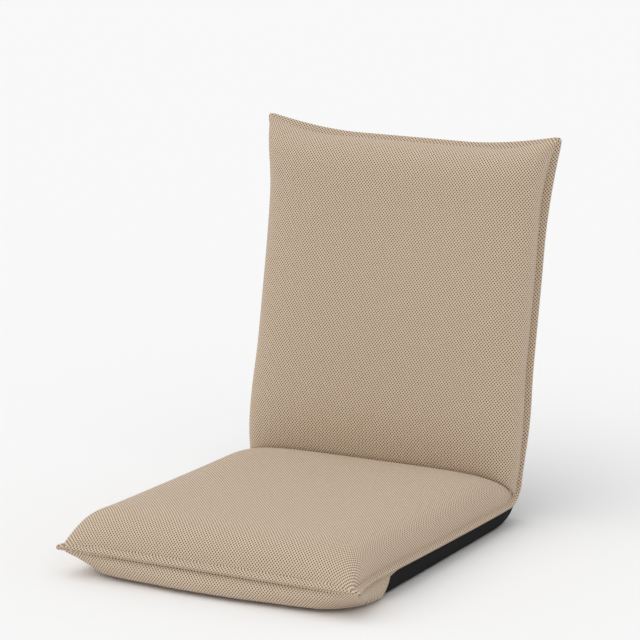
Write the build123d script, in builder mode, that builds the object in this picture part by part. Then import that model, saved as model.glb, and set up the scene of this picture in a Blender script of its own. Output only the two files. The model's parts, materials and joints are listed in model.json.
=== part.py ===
"""Folding floor chair: a padded seat and back on two steel frames with a ratchet hinge each side.

The origin is on the floor, midway between the hinge axis and the seat's front edge.
+Z is up, the chair faces -Y and +X is the sitter's left. Lengths are millimetres.
Seat and back are the same kind of pad, so both are drawn in a half's own plane:
x across, y from the hinge axis to the far edge, z from the base plane to the padded face.
"""

import os
from math import cos, radians, sin, sqrt, tan

from build123d import *

# Overall sizes
width = 480.0  # across the outer edges of the seam flange
seat_reach = 581.0  # hinge axis to the flange's front edge
back_reach = 559.0  # hinge axis to the flange's top edge
pad_height = 94.0  # base plane to a pad's crown
seam_height = 31.0  # base plane to the middle of the seam flange
hinge_height = 30.0  # base plane to the hinge axis
rest_angle = 101.2  # between seat and back as it stands
steps_to_flat = 13  # ratchet steps from there to lying flat

# Covers
cover_thickness = 1.2
flange_width = 13.0
flange_thickness = 5.0
seat_seam_rise = (9.5, 0.1, 0.38)  # how far the seam climbs, from which share of the reach,
back_seam_rise = (15.3, 0.6, 0.25)  # and the share of the climb that it has half way
body_corner = 8.0  # plan radius of a pad's far corners
outer_corner = 51.0  # radius of the cover where seat and back meet behind
seat_cap_length = 147.0  # mesh end cap under the seat's front edge
back_cap_length = 105.0
seat_front_round = 12.0  # under the seat's front edge
corner_draw = 18.0  # how far a far corner of the base draws in from the seam down to the floor
seat_ear = (13.4, -2.1, 100.0)  # how far an ear's tip stands out past the flange's corner, and its length
back_ear = (16.3, 14.8, 150.0)
ear_curve = 0.35  # share of an ear's length at which its bowed edges are set out
ear_hollow = 0.42  # share of the tip's overhang that the edges have reached there

# Pads
roll_length = 130.0  # length over which a pad rolls down into the crease
roll_drop = 36.0
nose_length = 75.0  # length over which a pad rounds down to its far edge
nose_power = 2.8
side_power = 5.0
side_start = 1.0  # how far under the seam a pad's curved sides start
roll_sections = 5
nose_turns = (0, 13, 26, 39, 52, 65, 77, 88)  # degrees round the nose, one section each
shoulder = (0.985, 0.955, 0.915, 0.85)  # shares of the half width that set out a section's shoulder
side_foam = 9.0  # rim of lower foam outside the frame
end_foam = 14.0
floor_foam = 4.0  # sheet of lower foam under the frame
frame_gap = 0.5  # from the lower foam's rim to the rivet heads on the frame
soft_gap = 0.3  # between a cover and its foam
fold_gap = 0.25  # from each cover's fold face to the middle of the crease, back forward

# Frames
tube_radius = 9.5
tube_wall = 1.2
bend_radius = 55.0
frame_height = 17.0  # base plane to the tubes' centre
cross_radius = 8.0
cross_wall = 1.0
cross_reach = 104.0
strap_width = 44.0
strap_pitch = 62.0
strap_thickness = 1.2
first_strap = 125.0
strap_gap = 0.1

# Ratchet hinge
plate_thickness = 2.5
arm_thickness = 5.0
arm_play = 0.3  # either side of the arm, between the plates
plate_margin = 3.0  # plate's edge outside the teeth
plate_boss = 8.0  # plate's edge round the pawl's pin
post_margin = 2.5  # plate's edge outside the spring's post
waist_length = 8.0  # where a plate or arm narrows into its tang
tooth_height = 1.7
tooth_face = 0.6  # degrees between a tooth's foot and its tip, along the steep face
stop_height = 2.1  # end stop above the teeth
stop_width = 20.0  # degrees
blank_margin = 1.0  # from the notches' bottoms to the arm's plain round part
pawl_angle = -60.0  # where the pawl meets the teeth, from the seat's direction
pawl_arm = 22.0
pawl_offset = 0.1  # how far the pawl's pin stands outside the line of the tooth tips
pawl_play = 0.15  # nose to tooth when engaged
pawl_nose = 2.65
pawl_boss = 5.0
pawl_heel = 3.0  # from the pin to where the pawl's toothed side straightens
pawl_lift = 5.6  # degrees from engaged to clear of the teeth
pivot_radius = 5.0
pawl_pin_radius = 2.5
post_radius = 1.5
post_inset = (5.0, 3.0)  # spring's post from the joggle and below the tang's middle
spring_thickness = 0.6
spring_side_gap = 0.5
spring_contact = 8.0  # from the pawl's nose to where the spring presses on its back
shaft_clearance = 0.05
head_height = 2.0
head_spread = 1.7  # head's radius over its shank's
head_taper = 22.0
joggle_start = 42.0
joggle_length = 8.0
tang_length = 46.0
tang_clearance = 0.15
rivet_radius = 2.5
rivet_pitch = 20.0
first_rivet = 10.0  # from the tube's end
arm_waist = 10.0  # the arm's tang starts this much nearer the hinge than the plates'
tube_gap = 4.0  # from the joggle to the tube's end
pocket_gap = 2.0  # foam to hinge
housing_gap = 1.0  # corner cover to hinge plates

# Zip between the base cover and the front cap
zip_slot = 12.0  # gap between the two covers' edges
zip_tape_width = 26.0
zip_tape_thickness = 0.6
zip_coil_width = 5.0
zip_coil_height = 1.2
zip_end_gap = 24.0
slider_length = 12.0
slider_width = 8.0
slider_plate = 0.5
slider_post = 1.5
slider_play = 0.1

# Worked out from the sizes above
body_half = width / 2 - flange_width
hinge_y = seat_reach / 2
tooth_pitch = (180 - rest_angle) / steps_to_flat
forward_angle = rest_angle - tooth_pitch
fold_half = radians(forward_angle / 2)
lining = cover_thickness + soft_gap
frame_room = tube_radius + head_height + frame_gap
frame_x = body_half - lining - side_foam - frame_room
strap_reach = tube_radius + strap_gap + strap_thickness
foam_floor = frame_height + strap_reach + soft_gap
bore_radius = tube_radius - tube_wall
corner_centre = outer_corner / tan(radians(rest_angle / 2)) - hinge_height / tan(radians(rest_angle / 2))
corner_to_hinge = sqrt(corner_centre**2 + (outer_corner - hinge_height) ** 2)
plate_radius = outer_corner - cover_thickness - housing_gap - corner_to_hinge
tip_radius = plate_radius - plate_margin
root_radius = tip_radius - tooth_height
plate_gap = arm_thickness + 2 * arm_play
plate_middle = plate_gap / 2 + plate_thickness / 2
tube_start = joggle_start + joggle_length + tube_gap
tang_end = joggle_start + joggle_length + tang_length
tang_height = 2 * sqrt((bore_radius - tang_clearance) ** 2 - (arm_thickness / 2) ** 2)
tang_level = frame_height - hinge_height
rivet_places = [(tube_start + first_rivet + i * rivet_pitch, tang_level) for i in range(2)]

coil_floor = cover_thickness + (zip_tape_thickness - zip_coil_height) / 2
zip_reach = seat_reach - seat_cap_length
slider_centre = body_half - zip_end_gap - slider_length
slider_floor = coil_floor - slider_play - slider_plate
slider_top = coil_floor + zip_coil_height + slider_play + slider_plate

hinge_point = Vector(0, hinge_y, hinge_height)
lean = radians(rest_angle - 90)
back_front = Vector(0, -cos(lean), sin(lean))
seat = Plane(origin=(0, hinge_y, 0), x_dir=(-1, 0, 0), z_dir=(0, 0, 1))
back = Plane(origin=hinge_point - back_front * hinge_height, x_dir=(1, 0, 0), z_dir=back_front)


def across(half, reach):
    """Plane square to a half's length at a distance from the hinge: x across, y up."""
    return Plane(half.from_local_coords((0, reach, 0)), half.x_dir, -half.y_dir)


def beside(half, offset=0.0, height=0.0):
    """Plane along a half's side: x from the hinge axis outwards, y up from a height."""
    return Plane(half.from_local_coords((offset, 0, height)), half.y_dir, half.x_dir)


def hinge_side(half, offset):
    """Plane along a half's side with its origin on the hinge axis."""
    return beside(half, offset, hinge_height)


def polar(radius, angle):
    """Point at a radius and an angle in degrees."""
    return (radius * cos(radians(angle)), radius * sin(radians(angle)))


def save(piece, name):
    """Label a finished piece and write it as its own STEP file."""
    piece.part.label = name
    export_step(piece.part, f"parts/{name}.step")


# ---- Outlines that several pieces share


def past_fold(half, gap):
    """Everything past a half's fold face: upright below the hinge, slanted above it."""
    along = Vector(cos(fold_half), sin(fold_half))
    knee = gap * (1 - sin(fold_half)) / cos(fold_half)
    start = Vector(gap * sin(fold_half), -gap * cos(fold_half)) + along * knee
    end = start + along * 3 * pad_height
    with BuildPart() as region:
        with BuildSketch(hinge_side(half, 0)):
            with BuildLine():
                Polyline(
                    (gap, -pad_height),
                    (start.X, start.Y),
                    (end.X, end.Y),
                    (-2 * pad_height, end.Y),
                    (-2 * pad_height, -pad_height),
                    close=True,
                )
            make_face()
        extrude(amount=width, both=True)
    return region.part


def under_seam(half, reach, rise, shift=0.0):
    """Everything under the seam, which climbs over the last part of a half."""
    climb_height, first, halfway = rise
    start = first * reach
    level = seam_height + shift
    with BuildPart() as region:
        with BuildSketch(beside(half)):
            with BuildLine():
                flat = Line((-pad_height, level), (start, level))
                climb = ThreePointArc(
                    (start, level),
                    ((start + reach) / 2, level + climb_height * halfway),
                    (reach, level + climb_height),
                )
                Polyline(
                    climb @ 1,
                    (reach + pad_height, level + climb_height),
                    (reach + pad_height, -pad_height),
                    (-pad_height, -pad_height),
                    flat @ 0,
                )
            make_face()
        extrude(amount=width, both=True)
    return region.part


def body_column(half, reach, inset):
    """Everything inside a pad's plan: straight sides and two rounded far corners."""
    end = reach - flange_width - inset
    with BuildPart() as column:
        with BuildSketch(half.offset(-pad_height)):
            with Locations((0, (end - pad_height) / 2)):
                Rectangle(2 * (body_half - inset), end + pad_height)
            fillet(vertices().group_by(Axis.Y)[-1], body_corner - inset)
        extrude(amount=4 * pad_height)
    return column.part


def plate_outline(grow=0.0):
    """Side view of a hinge plate from the pivot past the pawl's pin to the frame tube."""
    with BuildSketch() as rough:
        Circle(plate_radius + grow)
        with Locations(pawl_pin_place):
            Circle(plate_boss + grow)
        with Locations(post_place):
            Circle(post_radius + post_margin + grow)
        with Locations((joggle_start, tang_level)):
            Rectangle(waist_length, tang_height + 2 * grow)
    with BuildSketch() as outline:
        make_hull(rough.edges())
    return outline.sketch


# ---- Pads and covers


def seam_level(station, reach, rise):
    """Height of the seam at a distance from the hinge."""
    climb_height, first, halfway = rise
    share = max(0.0, (station / reach - first) / (1 - first))
    return seam_height + climb_height * share * (share * (2 - 4 * halfway) + 4 * halfway - 1)


def pad_rise(station, end, inset):
    """Height of a pad's crown above the seam at a distance from the hinge."""
    full = pad_height - inset - seam_height + side_start
    if station < roll_length:
        return full - roll_drop * (1 - station / roll_length) ** 2
    nose = max(0.0, station - end + nose_length) / nose_length
    return full * max(0.0, 1 - nose**nose_power) ** (1 / nose_power)


def pad_section(half, station, end, level, inset, floor):
    """One cross-section of a pad: flat under, drawn-in sides, shoulders and a crown."""
    edge = body_half - inset
    rise = pad_rise(station, end, inset)

    def skin(share):
        return (edge * share, level + rise * (1 - abs(share) ** side_power) ** (1 / side_power))

    with BuildSketch(across(half, station)) as section:
        with BuildLine():
            Line((-edge, floor), (edge, floor))
            Line((edge, floor), skin(1))
            ThreePointArc(skin(1), skin(shoulder[0]), skin(shoulder[1]))
            ThreePointArc(skin(shoulder[1]), skin(shoulder[2]), skin(shoulder[3]))
            ThreePointArc(skin(shoulder[3]), skin(0), skin(-shoulder[3]))
            ThreePointArc(skin(-shoulder[3]), skin(-shoulder[2]), skin(-shoulder[1]))
            ThreePointArc(skin(-shoulder[1]), skin(-shoulder[0]), skin(-1))
            Line(skin(-1), (-edge, floor))
        make_face()
    return section.sketch


def pad(half, reach, rise, inset, floor, gap):
    """Solid of a pad inside a given lining, with its fold face cut."""
    end = reach - flange_width - inset
    roll = [roll_length * step / roll_sections for step in range(roll_sections + 1)]
    nose = [end - nose_length * (1 - sin(radians(turn)) ** (2 / nose_power)) for turn in nose_turns]
    with BuildPart() as solid:
        for stations in (roll, [roll_length, nose[0]], nose):
            levels = [seam_level(station, reach, rise) - side_start for station in stations]
            sections = zip(stations, levels)
            loft([pad_section(half, station, end, level, inset, floor) for station, level in sections])
        add(body_column(half, reach, inset), mode=Mode.INTERSECT)
        add(past_fold(half, gap), mode=Mode.SUBTRACT)
    return solid.part


def hinge_pockets(half):
    """Room round both hinges."""
    with BuildPart() as pockets:
        for side in (-1, 1):
            with BuildSketch(hinge_side(half, side * frame_x)):
                add(plate_outline(pocket_gap))
            extrude(amount=plate_middle + plate_thickness / 2 + head_height + pocket_gap, both=True)
    return pockets.part


def upper_foam(half, reach, rise, name):
    """Thick foam block that the sitter feels, lying on the straps."""
    with BuildPart() as foam:
        add(pad(half, reach, rise, lining, foam_floor, fold_gap + lining))
        add(base_form(half, reach, rise, lining), mode=Mode.INTERSECT)
        add(hinge_pockets(half), mode=Mode.SUBTRACT)
    save(foam, name)


def top_cover(half, reach, rise, name):
    """Mesh cover over a pad, tucked in along the crease, down to the seam."""
    inside = pad(half, reach, rise, cover_thickness, -pad_height / 4, fold_gap + cover_thickness)
    with BuildPart() as cover:
        add(pad(half, reach, rise, 0.0, 0.0, fold_gap))
        add(inside, mode=Mode.SUBTRACT)
        add(under_seam(half, reach, rise), mode=Mode.SUBTRACT)
        add(hinge_pockets(half), mode=Mode.SUBTRACT)
    save(cover, name)


def base_outline(end, far_round, inset):
    """Side view of a half's underside: corner arc, flat, and a quarter round up at the far edge."""
    radius = outer_corner - inset
    turn = sqrt(radius**2 - (2 * corner_centre) ** 2)
    round_up = far_round - inset
    with BuildSketch() as outline:
        with BuildLine():
            Line((-corner_centre, 3 * pad_height), (-corner_centre, outer_corner - turn))
            ThreePointArc(
                (-corner_centre, outer_corner - turn),
                (0.0, outer_corner - sqrt(radius**2 - corner_centre**2)),
                (corner_centre, inset),
            )
            Line((corner_centre, inset), (end - round_up, inset))
            ThreePointArc(
                (end - round_up, inset),
                (end - round_up * (1 - sin(radians(45))), inset + round_up * (1 - cos(radians(45)))),
                (end, far_round),
            )
            Polyline((end, far_round), (end, 3 * pad_height), (-corner_centre, 3 * pad_height))
        make_face()
    return outline.sketch


def corner_slopes(half, reach, rise, inset):
    """Everything outside the sloping far corners of the base."""
    top = seam_height + rise[0]
    tilt = sqrt(2) * corner_draw / top
    with BuildPart() as region:
        for side in (-1, 1):
            outward = (half.x_dir * side + half.y_dir - half.z_dir * tilt).normalized()
            corner = half.from_local_coords((side * body_half, reach - flange_width, top))
            with BuildSketch(Plane(origin=corner - outward * inset, z_dir=outward)):
                Rectangle(width, width)
            extrude(amount=width / 4)
    return region.part


def base_form(half, reach, rise, inset):
    """Solid of a half's underside, open upwards, inside a given lining."""
    end = reach - flange_width - inset
    far_round = seat_front_round if half is seat else seam_height + rise[0]
    with BuildPart() as form:
        with BuildSketch(beside(half)):
            add(base_outline(end, far_round, inset))
        extrude(amount=body_half - inset, both=True)
        add(body_column(half, reach, inset), mode=Mode.INTERSECT)
        add(corner_slopes(half, reach, rise, inset), mode=Mode.SUBTRACT)
    return form.part


def base_shell(half, reach, rise, cap_length, part_of, name):
    """One stretch of the cover under the seam: the woven base or the mesh end cap."""
    inside = base_form(half, reach, rise, cover_thickness)
    joint = reach - cap_length
    with BuildPart() as shell:
        add(base_form(half, reach, rise, 0.0))
        add(inside, mode=Mode.SUBTRACT)
        add(under_seam(half, reach, rise), mode=Mode.INTERSECT)
        with BuildSketch(half.offset(-1)):
            with Locations((0, joint)):
                align = Align.MAX if part_of == "base" else Align.MIN
                Rectangle(width, 2 * reach, align=(Align.CENTER, align))
        extrude(amount=pad_height, mode=Mode.INTERSECT)
        if part_of == "base":
            add(past_fold(half, 2 * fold_gap), mode=Mode.SUBTRACT)
        if half is seat:
            with BuildSketch(half.offset(-1)):
                with Locations((0, joint)):
                    Rectangle(2 * (body_half - zip_end_gap), zip_slot)
            extrude(amount=1 + 2 * cover_thickness, mode=Mode.SUBTRACT)
    save(shell, name)


def lower_foam(half, reach, rise, name):
    """Thin foam under the frame with a raised rim that cradles the tubes and straps."""
    cavity_x = frame_x + frame_room
    cavity_end = reach - flange_width - lining - end_foam
    start = 2 * corner_centre
    with BuildPart() as foam:
        add(base_form(half, reach, rise, lining))
        with BuildSketch(half.offset(lining)):
            with Locations((0, start)):
                Rectangle(width, 2 * reach, align=(Align.CENTER, Align.MIN))
        extrude(amount=foam_floor - lining - soft_gap, mode=Mode.INTERSECT)
        with BuildSketch(half.offset(lining + floor_foam)):
            with Locations((0, cavity_end / 2)):
                Rectangle(2 * cavity_x, cavity_end)
            fillet(vertices().group_by(Axis.Y)[-1], bend_radius)
        extrude(amount=pad_height, mode=Mode.SUBTRACT)
        if half is seat:
            with BuildSketch(half):
                with Locations((0, zip_reach)):
                    Rectangle(2 * body_half, zip_tape_width + 2 * soft_gap)
            extrude(amount=slider_top + soft_gap, mode=Mode.SUBTRACT)
    save(foam, name)


def flange_edge(reach, ear, side):
    """Outer edge of one side's flange, out to the ear's tip and back to the middle."""
    out, beyond, length = ear
    edge = side * width / 2
    tip = (edge + side * out, reach + beyond)
    along = ear_curve * length
    bow = (edge + side * out * ear_hollow, reach - along + beyond * ear_curve)
    brow = (edge - side * along + side * out * ear_curve, reach + beyond * ear_hollow)
    with BuildLine() as outline:
        Line((edge, 0), (edge, reach - length))
        ThreePointArc((edge, reach - length), bow, tip)
        ThreePointArc(tip, brow, (edge - side * length, reach))
    return outline.line


def seam_flange(half, reach, rise, ear, name):
    """Padded piping round the seam, with an ear at each far corner."""
    end = reach - flange_width
    with BuildPart() as flange:
        with BuildSketch(half):
            with BuildLine():
                for side in (-1, 1):
                    add(flange_edge(reach, ear, side))
                Line((ear[2] - width / 2, reach), (width / 2 - ear[2], reach))
                Line((-width / 2, 0), (width / 2, 0))
            make_face()
            with BuildSketch(mode=Mode.SUBTRACT):
                with Locations((0, end / 2)):
                    Rectangle(2 * body_half, end)
                fillet(vertices().group_by(Axis.Y)[-1], body_corner)
        extrude(amount=pad_height)
        add(under_seam(half, reach, rise, flange_thickness / 2), mode=Mode.INTERSECT)
        add(under_seam(half, reach, rise, -flange_thickness / 2), mode=Mode.SUBTRACT)
        add(past_fold(half, flange_thickness), mode=Mode.SUBTRACT)
    save(flange, name)


# ---- Frames


def frame_tube(half, reach, name):
    """Bent steel tube round a half, open towards the hinge."""
    end = reach - flange_width - lining - end_foam - frame_room
    with BuildPart() as tube:
        with BuildLine(half.offset(frame_height)):
            FilletPolyline(
                (-frame_x, tube_start),
                (-frame_x, end),
                (frame_x, end),
                (frame_x, tube_start),
                radius=bend_radius,
            )
        with BuildSketch(across(half, tube_start)):
            with Locations((-frame_x, frame_height)):
                Circle(tube_radius)
                Circle(bore_radius, mode=Mode.SUBTRACT)
        sweep()
        with BuildSketch(hinge_side(half, 0)):
            with Locations(rivet_places):
                Circle(rivet_radius + shaft_clearance)
        extrude(amount=width, both=True, mode=Mode.SUBTRACT)
    save(tube, name)


def cross_tube(half, name):
    """Straight tube between the frame's sides near the hinge, its ends coped round them."""
    with BuildPart() as tube:
        with BuildSketch(beside(half)):
            with Locations((cross_reach, frame_height)):
                Circle(cross_radius)
                Circle(cross_radius - cross_wall, mode=Mode.SUBTRACT)
        extrude(amount=frame_x, both=True)
        with BuildSketch(across(half, cross_reach)):
            with Locations((-frame_x, frame_height), (frame_x, frame_height)):
                Circle(tube_radius)
        extrude(amount=2 * cross_radius, both=True, mode=Mode.SUBTRACT)
    save(tube, name)


def straps(half, reach, name):
    """Woven straps looped round the frame's sides."""
    end = reach - flange_width - lining - end_foam - frame_room - bend_radius
    count = int((end - first_strap - strap_width) / strap_pitch) + 1
    with BuildPart() as loops:
        for i in range(count):
            with BuildSketch(across(half, first_strap + i * strap_pitch + strap_width)):
                with Locations((0, frame_height)):
                    SlotCenterToCenter(2 * frame_x, 2 * strap_reach)
                    SlotCenterToCenter(2 * frame_x, 2 * (strap_reach - strap_thickness), mode=Mode.SUBTRACT)
            extrude(amount=strap_width)
    save(loops, name)


def tube_rivets(half, name):
    """Domed rivets through the frame tube and the hinge's tang, two each side."""
    with BuildPart() as rivets:
        for side in (-1, 1):
            with BuildSketch(hinge_side(half, side * frame_x)):
                with Locations(rivet_places):
                    Circle(rivet_radius)
            extrude(amount=tube_radius, both=True)
            for way in (-1, 1):
                with BuildSketch(hinge_side(half, side * frame_x + way * tube_radius)):
                    with Locations(rivet_places):
                        Circle(head_spread * rivet_radius)
                extrude(amount=way * head_height, taper=head_taper)
    save(rivets, name)


# ---- Ratchet hinge


def pawl_point(along, out):
    """Point in the seat's hinge plane, from the pawl's line along its arm and out from the pivot."""
    turn = radians(pawl_angle)
    return (
        -along * sin(turn) + out * cos(turn),
        along * cos(turn) + out * sin(turn),
    )


pawl_pin_place = pawl_point(pawl_arm, tip_radius + pawl_offset)
post_place = (joggle_start - post_inset[0], tang_level - post_inset[1])


def lifted():
    """Turn about the pawl's pin that takes the pawl from engaged to clear of the teeth."""
    return Location(pawl_pin_place) * Rotation(0, 0, pawl_lift) * Location(pawl_pin_place).inverse()


def hinge_plate(side, way, name):
    """Stamped plate: disc round the pivot, pawl boss, and a tang joggled into the frame tube."""
    centre = side * frame_x
    outer = way * (plate_gap / 2 + plate_thickness)
    inner = way * plate_gap / 2
    with BuildPart() as plate:
        with BuildSketch(hinge_side(seat, centre)):
            add(plate_outline())
            with Locations(((joggle_start + tang_end) / 2, tang_level)):
                Rectangle(tang_end - joggle_start, tang_height)
            Circle(pivot_radius, mode=Mode.SUBTRACT)
            with Locations(pawl_pin_place):
                Circle(pawl_pin_radius, mode=Mode.SUBTRACT)
            with Locations(post_place):
                Circle(post_radius, mode=Mode.SUBTRACT)
            with Locations(rivet_places):
                Circle(rivet_radius + shaft_clearance, mode=Mode.SUBTRACT)
        extrude(amount=2 * plate_gap, both=True)
        with BuildSketch(seat):
            with BuildLine():
                Polyline(
                    (centre + inner, -2 * plate_radius),
                    (centre + inner, joggle_start),
                    (centre, joggle_start + joggle_length),
                    (centre, tang_end),
                    (centre + outer - inner, tang_end),
                    (centre + outer - inner, joggle_start + joggle_length),
                    (centre + outer, joggle_start),
                    (centre + outer, -2 * plate_radius),
                    close=True,
                )
            make_face()
        extrude(amount=pad_height, mode=Mode.INTERSECT)
    save(plate, name)


def headed_pin(side, place, radius, name):
    """Pin across both plates with a head formed outside each."""
    reach_out = plate_middle + plate_thickness / 2
    with BuildPart() as pin:
        with BuildSketch(hinge_side(seat, side * frame_x)):
            with Locations(place):
                Circle(radius)
        extrude(amount=reach_out, both=True)
        for way in (-1, 1):
            with BuildSketch(hinge_side(seat, side * frame_x + way * reach_out)):
                with Locations(place):
                    Circle(head_spread * radius)
            extrude(amount=way * head_height, taper=head_taper)
    save(pin, name)


def gear_points():
    """Sawtooth edge of the arm's head, from the first notch to the end stop."""
    first = rest_angle - pawl_angle
    points = []
    for step in range(-1, steps_to_flat + 1):
        foot = first + step * tooth_pitch
        points.append(polar(root_radius, foot))
        if step < steps_to_flat:
            points.append(polar(tip_radius, foot + tooth_face))
    stop = first + steps_to_flat * tooth_pitch + tooth_face
    points.append(polar(tip_radius + stop_height, stop))
    return points


def gear_arm(side, name):
    """Toothed plate on the pivot with a tang riveted into the back's frame tube."""
    points = gear_points()
    start = rest_angle - pawl_angle - 2 * tooth_pitch
    stop = rest_angle - pawl_angle + steps_to_flat * tooth_pitch + tooth_face
    blank = root_radius - blank_margin
    tang_start = joggle_start - arm_waist
    crest = tip_radius + stop_height
    with BuildSketch() as rough:
        Circle(blank)
        with Locations((tang_start, tang_level)):
            Rectangle(waist_length, tang_height)
    with BuildPart() as arm:
        with BuildSketch(hinge_side(back, side * frame_x)):
            make_hull(rough.edges())
            with BuildLine():
                Polyline((0, 0), polar(blank, start), *points)
                RadiusArc(points[-1], polar(crest, stop + stop_width), crest)
                Line(polar(crest, stop + stop_width), (0, 0))
            make_face()
            with Locations(((tang_start + tang_end) / 2, tang_level)):
                Rectangle(tang_end - tang_start, tang_height)
            Circle(pivot_radius + shaft_clearance, mode=Mode.SUBTRACT)
            with Locations(rivet_places):
                Circle(rivet_radius + shaft_clearance, mode=Mode.SUBTRACT)
        extrude(amount=arm_thickness / 2, both=True)
    save(arm, name)


def pawl(side, name):
    """Strut pawl drawn engaged, then turned on its pin until its nose clears the teeth."""
    foot = root_radius + pawl_play
    line = tip_radius + 2 * pawl_play
    pin = tip_radius + pawl_offset
    nose_run = line - foot
    with BuildSketch() as engaged:
        with BuildLine():
            Polyline(
                pawl_point(0, foot),
                pawl_point(nose_run, line),
                pawl_point(pawl_arm - pawl_heel, line),
                pawl_point(pawl_arm, pin),
                pawl_point(pawl_arm, pin + pawl_boss),
                pawl_point(0, line + pawl_nose),
                close=True,
            )
        make_face()
        with Locations(pawl_pin_place):
            Circle(pawl_boss)
            Circle(pawl_pin_radius + shaft_clearance, mode=Mode.SUBTRACT)
    with BuildPart() as strut:
        with BuildSketch(hinge_side(seat, side * frame_x)):
            add(lifted() * engaged.sketch)
        extrude(amount=arm_thickness / 2, both=True)
    save(strut, name)


def pawl_spring(side, name):
    """Flat spring hooked round its post, its rounded tip against the pawl's back."""
    eye = post_radius + shaft_clearance
    nose = tip_radius + 2 * pawl_play + pawl_nose
    heel = tip_radius + pawl_offset + pawl_boss
    back_line = nose + (heel - nose) * spring_contact / pawl_arm
    tip = pawl_point(spring_contact, back_line + spring_thickness + shaft_clearance)
    tip = (lifted() * Location(tip)).position
    with BuildPart() as spring:
        with BuildSketch(hinge_side(seat, side * frame_x)):
            with Locations(post_place):
                Circle(eye + spring_thickness)
            with Locations(tip):
                Circle(spring_thickness)
            with BuildLine():
                Polyline(
                    (post_place[0], post_place[1] - eye - spring_thickness),
                    (post_place[0], post_place[1] - eye),
                    (tip.X, tip.Y),
                    (tip.X, tip.Y - spring_thickness),
                    close=True,
                )
            make_face()
            with Locations(post_place):
                Circle(eye, mode=Mode.SUBTRACT)
        extrude(amount=arm_thickness / 2 - spring_side_gap, both=True)
    save(spring, name)


# ---- Woven gusset round the outer corner, and the zip


def corner_gusset(name):
    """Woven fabric round the hinges between the two base covers, as it hangs in the rest pose."""
    edge = -fold_gap
    depth = outer_corner - hinge_height
    drop = depth - sqrt(outer_corner**2 - (corner_centre - edge) ** 2)
    turn = radians(rest_angle)
    mid = (corner_centre - outer_corner * cos(turn / 2), depth - outer_corner * sin(turn / 2))
    far = (
        edge * cos(turn) + drop * sin(turn),
        edge * sin(turn) - drop * cos(turn),
    )
    top = (edge, edge * tan(turn / 2))
    with BuildPart() as gusset:
        with BuildSketch(hinge_side(seat, 0)):
            with BuildLine():
                Line(top, (edge, drop))
                ThreePointArc((edge, drop), mid, far)
                Line(far, top)
            make_face()
        extrude(amount=body_half, both=True)
        with BuildSketch(hinge_side(seat, 0)):
            with Locations((corner_centre, depth)):
                Circle(outer_corner - cover_thickness)
        extrude(amount=body_half - cover_thickness, both=True, mode=Mode.SUBTRACT)
    save(gusset, name)


def zip_tape(name):
    """Zip tape sewn inside the covers' edges with its coil over the slot between them."""
    length = 2 * (body_half - zip_end_gap)
    with BuildPart() as tape:
        with BuildSketch(seat.offset(cover_thickness)):
            with Locations((0, zip_reach)):
                Rectangle(length, zip_tape_width)
        extrude(amount=zip_tape_thickness)
        with BuildSketch(seat.offset(coil_floor)):
            with Locations((0, zip_reach)):
                Rectangle(2 * slider_centre, zip_coil_width)
        extrude(amount=zip_coil_height)
        with BuildSketch(seat):
            with Locations((slider_centre + slider_post, zip_reach)):
                Circle(slider_post + slider_play)
        extrude(amount=pad_height, mode=Mode.SUBTRACT)
    save(tape, name)


def zip_slider(name):
    """Slider at one end of the coil: two plates and the post that parts the tapes."""
    with BuildPart() as slider:
        for level in (slider_floor, slider_top - slider_plate):
            with BuildSketch(seat.offset(level)):
                with Locations((slider_centre, zip_reach)):
                    SlotOverall(slider_length, slider_width)
            extrude(amount=slider_plate)
        with BuildSketch(seat.offset(slider_floor)):
            with Locations((slider_centre + slider_post, zip_reach)):
                Circle(slider_post)
        extrude(amount=slider_top - slider_floor)
    save(slider, name)


os.makedirs("parts", exist_ok=True)

for half, reach, rise, ear, names in (
    (seat, seat_reach, seat_seam_rise, seat_ear, "seat"),
    (back, back_reach, back_seam_rise, back_ear, "back"),
):
    frame_tube(half, reach, f"{names}_frame_tube")
    cross_tube(half, f"{names}_cross_tube")
    straps(half, reach, f"{names}_straps")
    tube_rivets(half, f"{names}_tube_rivets")
    upper_foam(half, reach, rise, f"{names}_foam")
    lower_foam(half, reach, rise, f"{names}_lower_foam")
    top_cover(half, reach, rise, f"{names}_cover")
    seam_flange(half, reach, rise, ear, f"{names}_flange")

base_shell(seat, seat_reach, seat_seam_rise, seat_cap_length, "base", "seat_base_cover")
base_shell(seat, seat_reach, seat_seam_rise, seat_cap_length, "cap", "seat_front_cap")
base_shell(back, back_reach, back_seam_rise, back_cap_length, "base", "back_rear_cover")
base_shell(back, back_reach, back_seam_rise, back_cap_length, "cap", "back_top_cap")
corner_gusset("corner_gusset")
zip_tape("cover_zip")
zip_slider("cover_zip_slider")

for name, hand in (("left", 1), ("right", -1)):
    seat_side = -hand
    hinge_plate(seat_side, seat_side, f"{name}_hinge_outer_plate")
    hinge_plate(seat_side, -seat_side, f"{name}_hinge_inner_plate")
    headed_pin(seat_side, (0, 0), pivot_radius, f"{name}_pivot_pin")
    headed_pin(seat_side, pawl_pin_place, pawl_pin_radius, f"{name}_pawl_pin")
    headed_pin(seat_side, post_place, post_radius, f"{name}_spring_post")
    gear_arm(hand, f"{name}_gear_arm")
    pawl(seat_side, f"{name}_pawl")
    pawl_spring(seat_side, f"{name}_pawl_spring")
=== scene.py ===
# %% [markdown]
# # Folding floor chair
# A legless chair: two foam pads on bent steel tubes, joined by a ratchet hinge at each side, all in one
# sewn cover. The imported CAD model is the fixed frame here. The steel keeps its CAD shape and gets its
# finish; every soft piece is made again, because cloth and foam have fuller forms than their solids.

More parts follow.
